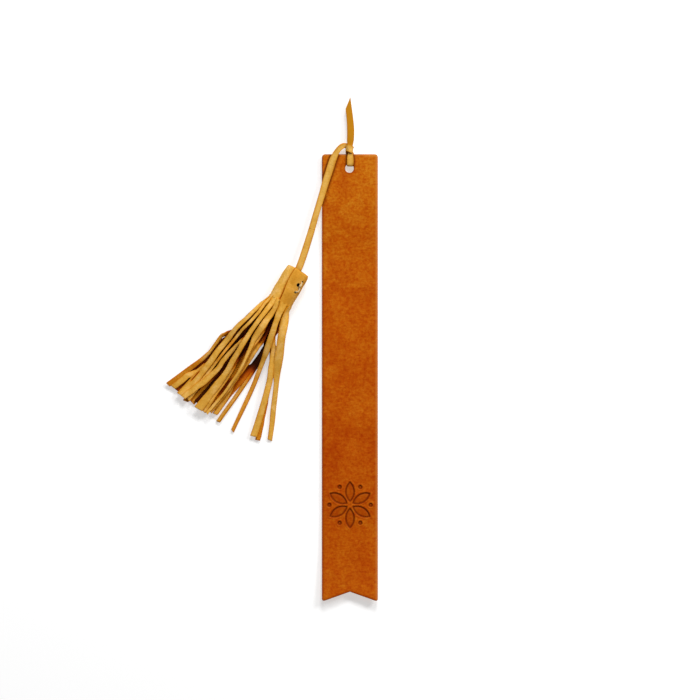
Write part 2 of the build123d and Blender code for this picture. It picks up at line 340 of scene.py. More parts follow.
def fleshMaterial(name, look, side, share=1.0):
    material, tree, shader = newMaterial(name)
    fibre = noiseNode(tree, objectCoords(tree), look[side + "Scale"], 8, 0.7, 1.5)
    tone = rampNode(tree, fibre, look[side + "Tones"])
    tree.links.new(shaded(tree, tone, share), shader.inputs["Base Color"])
    setSockets(shader, {"Roughness": 0.9, "Specular IOR Level": 0.05})
    tree.links.new(bumpNode(tree, fibre, 0.6, 0.0002), shader.inputs["Normal"])
    return material


strapLook = {
    "tones": [(0.25, (0.60, 0.270, 0.024)), (0.50, (0.73, 0.385, 0.060)), (0.72, (0.86, 0.515, 0.160))],
    "laceTones": [(0.25, (0.54, 0.255, 0.030)), (0.50, (0.66, 0.358, 0.066)), (0.75, (0.73, 0.435, 0.110))],
    "edgeTones": [(0.3, (0.46, 0.150, 0.002)), (0.7, (0.66, 0.265, 0.006))],
    "backTones": [(0.3, (0.40, 0.135, 0.004)), (0.7, (0.60, 0.260, 0.020))],
    # near-black painted shade for the walls of the awl holes
    "holeTones": [(0.3, (0.035, 0.008, 0.001)), (0.7, (0.07, 0.016, 0.002))],
    "speckTones": [(0.3, (0.86, 0.86, 0.86)), (0.7, (1.08, 1.08, 1.08))],
    # painted shade toward a strap's rounded side edges and on the head's outer wall
    "rimTones": [(0.0, (1, 1, 1)), (1.0, (0.84, 0.62, 0.18))],
    "brownSide": (0.41, 0.158, 0.0012),
    "sheenTone": (1.0, 0.7, 0.25), "sheen": 0.15, "roughness": 0.72,
    "blotchScale": 190.0, "speckScale": 1500.0, "grainScale": 1300.0,
    "backScale": 1200.0, "edgeScale": 1500.0, "holeScale": 1500.0,
    # how much of the shade between the strands shows on their backs
    "backShare": 0.45,
}


def strapFaceMaterial(name, look, tones):
    material, tree, shader = newMaterial(name)
    coords = objectCoords(tree)
    blotch = noiseNode(tree, coords, look["blotchScale"], 6, 0.65, 0.5)
    tone = rampNode(tree, blotch, look[tones])
    speck = noiseNode(tree, coords, look["speckScale"], 3, 0.6)
    tone = tinted(tree, tone, speck, look["speckTones"])
    tone = tinted(tree, tone, attributeValue(tree, "paintedRimShade"), look["rimTones"])
    tone = mixColour(tree, attributeValue(tree, "brownSide"), tone, look["brownSide"])
    tree.links.new(shaded(tree, tone), shader.inputs["Base Color"])
    setSockets(shader, {"Roughness": look["roughness"], "Specular IOR Level": look["sheen"],
                        "Specular Tint": (*look["sheenTone"], 1)})
    grainHeight = noiseNode(tree, coords, look["grainScale"], 4, 0.6)
    tree.links.new(bumpNode(tree, grainHeight, 0.35, 0.00012), shader.inputs["Normal"])
    return material


stripFace = stripFaceMaterial(stripLook)
stripBack = fleshMaterial("stripFleshSide", stripLook, "back")
stripEdge = fleshMaterial("stripBurnishedEdge", stripLook, "edge")
strapFace = strapFaceMaterial("strapGrainFace", strapLook, "tones")
laceFace = strapFaceMaterial("laceGrainFace", strapLook, "laceTones")
strapBack = fleshMaterial("strapFleshSide", strapLook, "back", strapLook["backShare"])
strapEdge = fleshMaterial("strapCutEdge", strapLook, "edge")
# the awl holes' walls are painted near-black as the shade inside them
awlHoleShade = fleshMaterial("awlHolePaintedShade", strapLook, "hole")
print("materials made")


# strip: a flat grid, notched, holed, thickened and pressed

stripSize = {
    "length": 203.2, "width": 25.4, "thick": 1.8, "notch": 4.5, "cornerRound": 1.36,
    "notchReach": 20.0, "edgeRound": 0.28, "holeX": -0.2, "holeY": 95.15, "holeRadius": 1.98,
    # the hole end rises where the lace lies under it, and the foot curls up a little
    "riseStart": 50.0, "riseEnd": 86.0, "lift": 1.5, "curl": 3.0, "curlStart": 62.0, "curlLength": 39.6,
    # half sizes of the patch taken out for the hole, and the radius that its whole rim lies within
    "patchX": 4.0, "patchY": 3.6, "patchReach": 5.8,
    # around the lace the grid is finer, above fineY and to the left of fineX
    "fineY": 84.0, "fineX": 5.0,
    # how strong the painted edge highlight and the burnished edge with painted shade are, and how unevenly
    # the leather lies
    "litEdge": 0.6, "burnishShade": 0.6, "wave": 0.10, "ripple": 0.06, "waveLift": 0.16, "waveShare": 0.6,
}
rosette = {
    "y": -57.8, "inner": 1.4, "outer": 10.6, "petalWidth": 4.2, "dotRing": 9.4, "dotRadius": 0.85,
    "depth": 0.26, "groove": 0.20, "grooveIn": 0.25, "grooveWidth": 0.40,
    "lip": 0.11, "lipOut": 0.50, "lipWidth": 0.28, "sunkTone": 0.20, "grooveTone": 0.85,
    "reachX": 11.7, "reachY": 12.0,
}


def riseAt(y, size):
    half = (size["riseEnd"] - size["riseStart"]) / 2
    t = np.clip((y - size["riseStart"]) / (2 * half), 0, 1)
    return size["lift"] * np.where(t < 0.5, 2 * t * t, 1 - 2 * (1 - t) ** 2)


def pressShape(x, y, mark):
    # how far a point is inside a petal or dot, how near to its creased outline and to the lip around it
    px, py = x, y - mark["y"]
    half = (mark["outer"] - mark["inner"]) / 2
    middle = (mark["outer"] + mark["inner"]) / 2
    sag = mark["petalWidth"] / 2
    radius = (half * half + sag * sag) / (2 * sag)
    nearest = np.full_like(px, 9.0)
    for turn in range(6):
        angle = math.radians(90 + 60 * turn)
        p = px * math.cos(angle) + py * math.sin(angle) - middle
        q = -px * math.sin(angle) + py * math.cos(angle)
        nearest = np.minimum(nearest, np.hypot(p, np.abs(q) + radius - sag) - radius)
        dotAngle = math.radians(60 + 60 * turn)
        dx = px - mark["dotRing"] * math.cos(dotAngle)
        dy = py - mark["dotRing"] * math.sin(dotAngle)
        nearest = np.minimum(nearest, np.hypot(dx, dy) - mark["dotRadius"])
    sunk = 1 - smoothStep(-0.30, 0.10, nearest)
    groove = np.exp(-((nearest + mark["grooveIn"]) / mark["grooveWidth"]) ** 2)
    lip = np.exp(-((nearest - mark["lipOut"]) / mark["lipWidth"]) ** 2)
    return sunk, groove, lip


def makeStrip(size, mark):
    strip = addGrid("leatherStrip", 18, 144, 1)
    strip.scale = (size["width"] * mm, size["length"] * mm, 1)
    bpy.ops.object.transform_apply(scale=True)
    half, end = size["width"] / 2, size["length"] / 2
    # hole: a square patch goes out and its rim is drawn in to a circle
    patch = (0, size["holeY"], size["patchX"], size["patchY"])
    selectOnly(strip, "FACE", lambda face: near(face.center, *patch))
    bpy.ops.mesh.delete(type="FACE")
    bpy.ops.mesh.select_mode(type="EDGE")
    bpy.ops.mesh.select_all(action="DESELECT")
    bpy.ops.mesh.select_non_manifold(extend=False)
    objectMode()
    points = strip.data.vertices
    for edge in strip.data.edges:
        if edge.select:
            middle = (points[edge.vertices[0]].co + points[edge.vertices[1]].co) / 2 / mm
            edge.select = math.hypot(middle.x, middle.y - size["holeY"]) < size["patchReach"]
    editMode()
    bpy.ops.mesh.extrude_edges_move()
    objectMode()
    middle = Vector((size["holeX"], size["holeY"], 0)) * mm
    for vertex in strip.data.vertices:
        if vertex.select:
            vertex.co = middle + (vertex.co - middle).normalized() * size["holeRadius"] * mm
    # corners
    cornerX, cornerY = (half - 0.01) * mm, (end - 0.01) * mm
    selectOnly(strip, "VERT", lambda vertex: abs(vertex.co.x) > cornerX and abs(vertex.co.y) > cornerY)
    bpy.ops.mesh.bevel(offset=size["cornerRound"] * mm, segments=4, affect="VERTICES")
    # finer grid under the rosette and around the lace
    pressed = (0, mark["y"], mark["reachX"], mark["reachY"])
    fineX, fineY = size["fineX"] * mm, size["fineY"] * mm
    selectOnly(strip, "FACE", lambda face: near(face.center, *pressed)
               or (face.center.y > fineY and face.center.x < fineX))
    bpy.ops.mesh.subdivide(number_cuts=6)
    faceOutward(strip)
    co = readPoints(strip) / mm
    pull = np.clip((size["notchReach"] - end - co[:, 1]) / size["notchReach"], 0, 1)
    co[:, 1] += size["notch"] * (1 - np.abs(co[:, 0]) / half) * pull
    co[:, 2] = size["thick"]
    writePoints(strip, co * mm)
    if strip.data.polygons[0].normal.z < 0:
        faceOutward(strip, flip=True)
    giveMaterials(strip, (stripFace, stripBack, stripEdge))
    thicken(strip, size["thick"] * mm, -1, size["edgeRound"] * mm, 3, clamp=False)
    # press the rosette, lift the hole end and let the leather lie a little unevenly
    co = readPoints(strip) / mm
    x, y = co[:, 0].copy(), co[:, 1].copy()
    upper = smoothStep(0.9, 1.5, co[:, 2])
    sunk, groove, lip = (part * upper for part in pressShape(x, y, mark))
    wave = size["wave"] * np.sin(y * 0.115 + 0.6) * np.cos(x * 0.09)
    wave += size["ripple"] * np.sin(y * 0.31 + x * 0.12)
    wave = wave * smoothStep(-101, -80, y) * (1 - smoothStep(70, 95, y)) + size["waveLift"]
    curl = size["curl"] * np.clip((-y - size["curlStart"]) / size["curlLength"], 0, None) ** 2
    co[:, 2] += riseAt(y, size) + wave * smoothStep(30, 60, np.abs(y) + 30) * size["waveShare"] + curl
    co[:, 2] += lip * mark["lip"] - sunk * mark["depth"] - groove * mark["groove"]
    writePoints(strip, co * mm)
    side = half - np.abs(x)
    foot = y + end - size["notch"] * (1 - np.abs(x) / half)
    top = end - y
    hole = np.hypot(x - size["holeX"], y - size["holeY"]) - size["holeRadius"]
    # painted highlight where light catches the right edge and the top; the left edge, foot and hole rim are
    # burnished darker, with painted edge shade
    litEdge = np.minimum(np.where(x > 0, side, 9.0), top)
    burnishShade = np.minimum(np.minimum(np.where(x < 0, side, 9.0), foot), hole)
    storeValue(strip, "paintedEdgeHighlight", size["litEdge"] * (1 - smoothStep(0.1, 1.0, litEdge)))
    storeValue(strip, "shadedBurnishEdge", size["burnishShade"] * (1 - smoothStep(0.1, 0.8, burnishShade)))
    storeValue(strip, "pressed", np.clip(mark["sunkTone"] * sunk + mark["grooveTone"] * groove, 0, 0.95))
    smoothShade(strip, 50)
    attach(strip, "strip")
    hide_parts("leather_strip")
    return strip


leatherStrip = makeStrip(stripSize, rosette)
print("strip made:", len(leatherStrip.data.polygons), "faces")


# straps: a flat grid laid along a line, then thickened

def makeStrap(name, centres, normals, widths, thickness, faces,
              across=6, slantEnd=0.0, crown=0.06, rim=0.14):
    centres = np.asarray(centres, dtype=float)
    normals = unit(normals)
    along = len(centres) - 1
    run = runAlong(centres)
    strap = addGrid(name, across, along)
    flat = readPoints(strap)
    t = (flat[:, 1] + 1) / 2
    s = np.interp(t * along, np.arange(along + 1), run)
    if slantEnd:
        # the slant is drawn in over three times its own length
        pulled = (1 - flat[:, 0] * np.sign(slantEnd)) / 2
        reach = 3 * abs(slantEnd)
        s = s - abs(slantEnd) * pulled * np.clip((s - run[-1] + reach) / reach, 0, 1)
    tangents = unit(np.gradient(centres, run, axis=0))
    place = rowsAt(s, run, centres)
    tangent = unit(rowsAt(s, run, tangents))
    normal = rowsAt(s, run, normals)
    normal = unit(normal - tangent * np.sum(normal * tangent, axis=1, keepdims=True))
    side = np.cross(tangent, normal)
    half = np.interp(s, run, np.asarray(widths, dtype=float)) / 2
    offset = side * (flat[:, 0] * half)[:, None] - normal * (crown * mm * flat[:, 0] ** 2)[:, None]
    writePoints(strap, place + offset)
    # painted shade that grows toward the strap's side edges
    storeValue(strap, "paintedRimShade", smoothStep(0.5, 1.0, np.abs(flat[:, 0])))
    giveMaterials(strap, faces)
    thicken(strap, thickness, 0, rim * mm, 2)
    faceOutward(strap)
    smoothShade(strap, 45)
    return strap


# lace: one route from the tail's tip through knot, hole and hitch to the tassel, cut where bodies meet

laceSize = {
    "width": 3.1, "thick": 1.0, "tailSlant": 5.2,
    # where the tail turns its browner side up, and the painted shade line that the lace casts on the strip
    # beside it
    "brownFrom": 104.5, "brownTo": 106.0, "brown": 0.92, "lineAt": 0.2, "lineWidth": 0.62, "line": 0.78,
}
laceRoute = [
    # place (mm), which way the strap's outer face looks, width share
    ((-1.25, 127.4, 2.5), (0, 0, 1), 0.92),
    ((-0.5, 122.0, 2.9), (0.1, 0, 1), 0.94),
    ((0.3, 115.0, 3.7), (0.2, 0, 1), 1.02),
    ((0.35, 109.5, 4.1), (0.1, 0, 1), 1.0),
    ((0.05, 106.2, 4.1), (0, 0, 1), 0.78),
    ((-0.05, 103.6, 4.1), (0, 0, 1), 0.54),
    ((0.2, 101.0, 4.1), (0, 0, 1), 0.92),
    ((0.2, 98.2, 4.15), (0, 0, 1), 0.96),
    ((0.1, 96.55, 3.8), (0, -0.8, 0.6), 0.86),
    ((0.05, 96.5, 2.4), (0, -1, 0), 0.78),
    ((0.1, 96.55, 1.0), (0, -0.8, -0.6), 0.84),
    ((0.4, 97.7, 0.66), (0, 0, -1), 1.0),
    ((0.7, 99.5, 0.7), (0, 0, -1), 1.0),
    ((0.5, 101.6, 0.8), (-0.1, 0, -1), 0.95),
    ((-0.5, 102.5, 1.4), (-0.5, 0, -0.8), 0.88),
    ((-1.45, 103.2, 2.7), (-1, 0, -0.2), 0.85),
    ((-1.5, 104.1, 4.4), (-1, 0, 0.2), 0.88),
    ((-0.8, 104.5, 5.35), (-0.4, 0, 0.9), 0.95),
    ((0.1, 104.1, 5.35), (0, 0, 1), 1.0),
    ((0.75, 103.6, 5.2), (0.6, 0, 0.8), 0.98),
    ((1.0, 103.5, 4.0), (1, 0, 0), 0.92),
    ((0.8, 103.9, 2.9), (0.5, 0, -0.8), 0.85),
    ((0.0, 104.8, 2.8), (0, 0, -1), 0.80),
    ((-1.5, 105.4, 3.0), (0, 0, -1), 0.74),
    ((-3.1, 105.5, 3.7), (-0.2, 0.3, -1), 0.72),
    ((-4.7, 104.3, 4.2), (-0.2, 0.2, -1), 0.74),
    ((-6.3, 102.2, 4.2), (0, 0, -1), 0.80),
    ((-7.8, 98.9, 4.1), (0.1, 0, -1), 1.0),
    ((-9.1, 94.6, 4.1), (0.1, 0, -1), 1.06),
    ((-10.9, 89.3, 4.2), (0, 0, -1), 1.03),
    ((-13.1, 81.6, 4.4), (0, 0, -1), 0.96),
    ((-15.1, 75.2, 4.5), (-0.1, 0, -1), 0.90),
    ((-17.0, 68.4, 4.6), (-0.1, 0, -1), 0.93),
    ((-19.4, 60.7, 5.1), (0.1, 0, -1), 0.98),
    ((-21.5, 54.2, 5.65), (0.1, 0, -1), 1.0),
    ((-22.9, 50.2, 5.68), (0, 0, -1), 1.0),
    ((-25.2, 46.2, 5.68), (0, 0, -1), 1.0),
    ((-29.6, 38.8, 5.68), (0, 0, -1), 0.95),
]


def routePoints(name, points, steps=14):
    curve = bpy.data.curves.new(name, "CURVE")
    curve.dimensions = "3D"
    curve.resolution_u = steps
    spline = curve.splines.new("NURBS")
    spline.points.add(len(points) - 1)
    for point, (x, y, z) in zip(spline.points, points):
        point.co = (x * mm, y * mm, z * mm, 1)
    spline.order_u = 3
    spline.use_endpoint_u = True
    holder = bpy.data.objects.new(name, curve)
    bpy.context.collection.objects.link(holder)
    bpy.context.view_layer.update()
    line = bpy.data.meshes.new_from_object(holder.evaluated_get(bpy.context.evaluated_depsgraph_get()))
    co = np.empty(len(line.vertices) * 3)
    line.vertices.foreach_get("co", co)
    bpy.data.objects.remove(holder)
    bpy.data.meshes.remove(line)
    return co.reshape(-1, 3)


def nearestIndex(points, place):
    return int(np.argmin(np.linalg.norm(points - np.asarray(place) * mm, axis=1)))


lacePoints = routePoints("laceRoute", [stop[0] for stop in laceRoute])
stops = np.arange(len(laceRoute))
ticks = np.linspace(0, len(laceRoute) - 1, len(lacePoints))
facings = np.array([stop[1] for stop in laceRoute], dtype=float)
shares = np.array([stop[2] for stop in laceRoute], dtype=float)
laceNormals = unit(rowsAt(ticks, stops, facings))
laceWidths = np.interp(ticks, stops, shares) * laceSize["width"] * mm


def lacePiece(name, first, last, reverse=False, slantEnd=0.0):
    pick = np.arange(first, last + 1)
    if reverse:
        pick = pick[::-1]
    faces = (laceFace, laceFace, strapEdge)
    strap = makeStrap(name, lacePoints[pick], laceNormals[pick], laceWidths[pick],
                      laceSize["thick"] * mm, faces, slantEnd=slantEnd)
    run = runAlong(lacePoints[pick])
    # a slanted end stops half the slant short on the middle line
    pick = pick[run <= run[-1] - abs(slantEnd) / 2]
    length = float(run[len(pick) - 1])
    return strap, [tuple(p) for p in lacePoints[pick]], length


# the route is cut in the hole, on the strip's face and below the fold
inHole = nearestIndex(lacePoints, (0.3, 96.6, 1.4))
onStrip = nearestIndex(lacePoints, (-8.9, 96.9, 4.1))
onLower = nearestIndex(lacePoints, (-17.4, 67.2, 4.4))
# the fold and the head's mouth, and the way the lace runs there
foldAt = np.array([-14.9, 75.2, 4.1])
foldWay = unit(np.array([-3.8, -12.7, 0]))
mouthAt = np.array([-22.581, 50.648, 5.681])
mouthWay = unit(np.array([-0.44, -0.90, 0]))
laceCuts = {
    # first and last point, reversed or not, slant of the end and what the end meets;
    # then the two bodies and where the bend between them starts and ends, and the solids stood for
    "laceTail": (
        (0, inHole, True, laceSize["tailSlant"] * mm), "bare",
        ("strip", "tail", (0, 105.0, 4.1), (0, 109.5, 4.1)), ("lace_tail", "lace_loop")),
    "laceHitch": (
        (inHole, onStrip), "object",
        ("strip", "lead_upper", (-3.3, 104, 4.1), (-6.6, 104, 4.1)), ("lace_hitch",)),
    "laceLead": (
        (onStrip, onLower), "object",
        ("lead_upper", "lead_lower", foldAt - foldWay * 4, foldAt + foldWay * 4),
        ("lace_lead_upper", "lace_lead_lower")),
    "laceToTassel": (
        (onLower, len(lacePoints) - 1), "object",
        ("lead_lower", "tassel", mouthAt - mouthWay * 3.5, mouthAt + mouthWay * 1.6), ("lace_end",)),
}
laces = {}
for name, (stretch, farEnd, (fixed, moving, start, end), solids) in laceCuts.items():
    strap, path, length = lacePiece(name, *stretch)
    laces[name] = strap
    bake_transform(strap)
    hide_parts(*solids)
    print(name, "length", round(length / mm, 1), "mm")
tailY = readPoints(laces["laceTail"])[:, 1] / mm
brown = laceSize["brown"] * smoothStep(laceSize["brownFrom"], laceSize["brownTo"], tailY)
storeValue(laces["laceTail"], "brownSide", brown)
# painted shade: only the lace lying on the strip's face darkens a line on the strip just outside its edges
overStrip = (lacePoints[:, 2] > 3.6 * mm) & (lacePoints[:, 1] > 80 * mm)
stripCo = readPoints(leatherStrip) / mm
gap = np.full(len(stripCo), 9.0)
for point, width in zip(lacePoints[overStrip] / mm, laceWidths[overStrip] / mm):
    gap = np.minimum(gap, np.hypot(stripCo[:, 0] - point[0], stripCo[:, 1] - point[1]) - width / 2)
line = laceSize["line"] * np.exp(-((gap - laceSize["lineAt"]) / laceSize["lineWidth"]) ** 2)
storeValue(leatherStrip, "laceShade", line)
print("lace made")


# tassel: places are given along the head's axis (d), across it (u) and up (z), in mm from the waist

tassel = {
    "waist": (-31.873, 34.998), "angle": 30.7, "axisZ": 5.68, "headLength": 16.4,
    "outerRadius": 4.93, "pitch": 1.22, "bandThick": 1.08, "turns": 2.45,
    "edgeAngleTop": 103.0, "edgeAngleWaist": 90.0, "edgeBend": 12.0, "edgeShade": 0.52,
    "spreadAcross": 1.185, "shiftAcross": -0.05, "edgeRound": 0.22,
    # the band goes on a little below the waist, ripples, lifts at its free edge and dips at its top
    "skirt": 0.25, "ripple": 0.05, "edgeLift": 0.22, "topWave": 0.12, "topDish": 0.45, "rimShade": 0.55,
}
tasselTurn = math.radians(tassel["angle"])
wayAlong = np.array([-math.sin(tasselTurn), -math.cos(tasselTurn), 0])
wayAcross = np.array([math.cos(tasselTurn), -math.sin(tasselTurn), 0])
wayUp = np.array([0, 0, 1.0])
waistPoint = np.array([tassel["waist"][0], tassel["waist"][1], 0])


def tasselPlace(d, u, z):
    d, u, z = np.asarray(d, float), np.asarray(u, float), np.asarray(z, float)
    return waistPoint + d[..., None] * wayAlong + u[..., None] * wayAcross + z[..., None] * wayUp


def rollPlace(angle, radius):
    # middle of the band's wall at an angle (degrees) and a radius
    u = radius * np.cos(np.radians(angle)) * tassel["spreadAcross"] + tassel["shiftAcross"]
    z = radius * np.sin(np.radians(angle)) + tassel["axisZ"]
    return u, z


def barrel(d):
    # the roll is a little fuller in the middle than at its top and waist
    shoulder = 0.03 * smoothStep(-12.0, -15.5, d) + 0.06 * smoothStep(-15.2, -16.6, d)
    return 1.02 - shoulder - 0.02 * smoothStep(-5.0, 0.0, d)


def makeHead(spec):
    head = addGrid("tasselHead", 220, 26)
    flat = readPoints(head)
    back = (1 - flat[:, 0]) / 2 * spec["turns"] * 360
    d = -spec["headLength"] + (flat[:, 1] + 1) / 2 * (spec["headLength"] + spec["skirt"])
    turnOver = spec["edgeAngleTop"] - spec["edgeAngleWaist"]
    start = spec["edgeAngleWaist"] + turnOver * smoothStep(0, spec["edgeBend"], -d)
    radius = (spec["outerRadius"] - spec["pitch"] * back / 360) * barrel(d)
    radius += spec["ripple"] * np.sin(d * 0.9 + back * 0.02) * (back < 300)
    radius += spec["edgeLift"] * (1 - smoothStep(0, 16, back))
    u, z = rollPlace(start - back, radius)
    top = spec["topWave"] * np.sin(back * 0.031) + spec["topDish"] * (u / 5) ** 2
    d = d + top * smoothStep(-14, -16.4, d)
    writePoints(head, tasselPlace(d, u, z) * mm)
    # painted shade where the layer below dips under the free edge, and on the inner turns
    dip = spec["edgeShade"] * np.exp(-((back - 357) / 4.5) ** 2)
    storeValue(head, "paintedShade", dip + smoothStep(365, 400, back))
    # painted shade tint on the head's outer wall, from the free edge round the right side
    storeValue(head, "paintedRimShade", spec["rimShade"] * (1 - smoothStep(100, 190, back)))
    giveMaterials(head, (strapFace, strapBack, strapEdge, awlHoleShade))
    faceOutward(head)
    normals = np.array([f.normal for f in head.data.polygons])
    middles = np.array([f.center for f in head.data.polygons]) / mm
    outward = middles - waistPoint - np.array([0, 0, spec["axisZ"]])
    outward -= np.outer(outward @ wayAlong, wayAlong)
    if np.sum(normals * outward) < 0:
        faceOutward(head, flip=True)
    thicken(head, spec["bandThick"] * mm, 0, spec["edgeRound"] * mm, 3)
    return head


stitch = {
    # distance from the waist, angle on the roll, radius
    "holes": [(-12.5, 43.0, 0.58), (-10.5, 54.0, 0.88), (-7.0, 48.0, 0.62)],
    "awlDepth": 1.5, "awlOut": 0.45, "thread": 0.34, "beadAt": -10.6, "beadLength": 0.6, "bead": 0.75,
    "plies": 3, "plyDepth": 0.13, "plyLay": 3.4,
    # distance from the waist, angle on the roll, height over the wall's middle
    "route": [(-12.4, 43, -0.25), (-12.1, 44, 0.5), (-11.5, 46, 0.95), (-10.7, 47.5, 1.0),
              (-10.0, 46, 0.75), (-9.4, 43, 0.7), (-8.7, 39.5, 0.9), (-8.0, 40, 0.85), (-7.5, 43.5, 0.6),
              (-7.2, 46, 0.0), (-7.1, 47, -0.35)],
    "tones": [(0.3, (0.48, 0.32, 0.13)), (0.7, (0.74, 0.55, 0.28))],
}


def stitchFrame(d, angle):
    # point on the middle of the outer wall, and the way outward there
    u, z = rollPlace(angle, tassel["outerRadius"] * barrel(np.array(d)))
    outward = math.cos(math.radians(angle)) * wayAcross + math.sin(math.radians(angle)) * wayUp
    return tasselPlace(d, u, z), outward


def pierceHead(head, spec):
    for d, angle, radius in spec["holes"]:
        point, outward = stitchFrame(d, angle)
        deselectAll()
        bpy.ops.mesh.primitive_cylinder_add(vertices=20, radius=radius * mm, depth=spec["awlDepth"] * mm)
        cutter = bpy.context.object
        cutter.rotation_mode = "QUATERNION"
        cutter.rotation_quaternion = Vector(outward).to_track_quat("Z", "Y")
        cutter.location = Vector((point + outward * spec["awlOut"]) * mm)
        bpy.ops.object.transform_apply(location=True, rotation=True, scale=True)
        cutter.data.materials.append(awlHoleShade)
        cut = head.modifiers.new("awl", "BOOLEAN")
        cut.operation = "DIFFERENCE"
        cut.object = cutter
        cut.solver = "EXACT"
        applyModifiers(head)
        bpy.data.objects.remove(cutter)


tasselHead = makeHead(tassel)
pierceHead(tasselHead, stitch)
smoothShade(tasselHead, 45)
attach(tasselHead, "tassel")
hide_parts("tassel_head")
print("head made:", len(tasselHead.data.polygons), "faces")


def makeStitch(spec):
    frames = [stitchFrame(*stop[:2]) for stop in spec["route"]]
    points = [point + outward * stop[2] for (point, outward), stop in zip(frames, spec["route"])]
    outward = frames[len(frames) // 2][1]
    line = routePoints("stitchRoute", [tuple(p) for p in points], 10)
    run = runAlong(line)
    tangents = unit(np.gradient(line, run, axis=0))
    sideways = unit(np.cross(tangents, outward))
    upward = np.cross(sideways, tangents)
    last = len(line) - 1
    thread = addGrid("stitchThread", 24, last)
    flat = readPoints(thread)
    row = np.rint((flat[:, 1] + 1) / 2 * last).astype(int)
    angle = (flat[:, 0] + 1) * math.pi
    plies = np.cos(spec["plies"] * (angle + run[row] / mm * spec["plyLay"]))
    fromBead = (line / mm - waistPoint) @ wayAlong - spec["beadAt"]
    bead = np.exp(-((fromBead / spec["beadLength"]) ** 2))[row]
    radius = spec["thread"] * mm * (1 + spec["plyDepth"] * plies + spec["bead"] * bead)
    aside, above = radius * np.cos(angle), radius * np.sin(angle)
    writePoints(thread, line[row] + sideways[row] * aside[:, None] + upward[row] * above[:, None])
    editMode()
    bpy.ops.mesh.select_mode(type="VERT")
    bpy.ops.mesh.select_all(action="SELECT")
    bpy.ops.mesh.remove_doubles(threshold=0.00001)
    bpy.ops.mesh.select_all(action="DESELECT")
    bpy.ops.mesh.select_non_manifold()
    bpy.ops.mesh.fill()
    faceOutward(thread)
    smoothShade(thread, 60)
    material, tree, shader = newMaterial("waxedThread")
    fuzz = noiseNode(tree, objectCoords(tree), 2500.0, 5, 0.7)
    tree.links.new(rampNode(tree, fuzz, spec["tones"]), shader.inputs["Base Color"])
    shader.inputs["Roughness"].default_value = 0.6
    thread.data.materials.append(material)
    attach(thread, "tassel")
    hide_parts("stitch_thread")


makeStitch(stitch)
print("stitch made")


# strands: each leaves the roll along its wall and eases to the place where its solid lies

strandSize = {
    "thick": 1.08, "leave": 0.4, "settle": 9.0, "flare": 0.18, "crown": 0.10, "edgeRound": 0.26,
    # height of a strand's middle that lies flat on the table, and the wobble of its line and width
    "rest": 0.58, "wobble": 0.04, "uneven": 0.035,
    "rows": 60, "columns": 6, "slitColumns": 18, "markStep": 1.5, "seamAngle": 96,
    # how far a strand shades its neighbours, and how much higher it lies when the shade starts and is full
    "shadeMargin": 0.3, "shadeSlope": 0.55, "shadeMost": 1.8, "shadeFrom": 0.8, "shadeFull": 2.8,
    "slitWidth": 0.24, "slitDepth": 0.45, "slitShade": 0.9, "slitEase": 2.0,
}
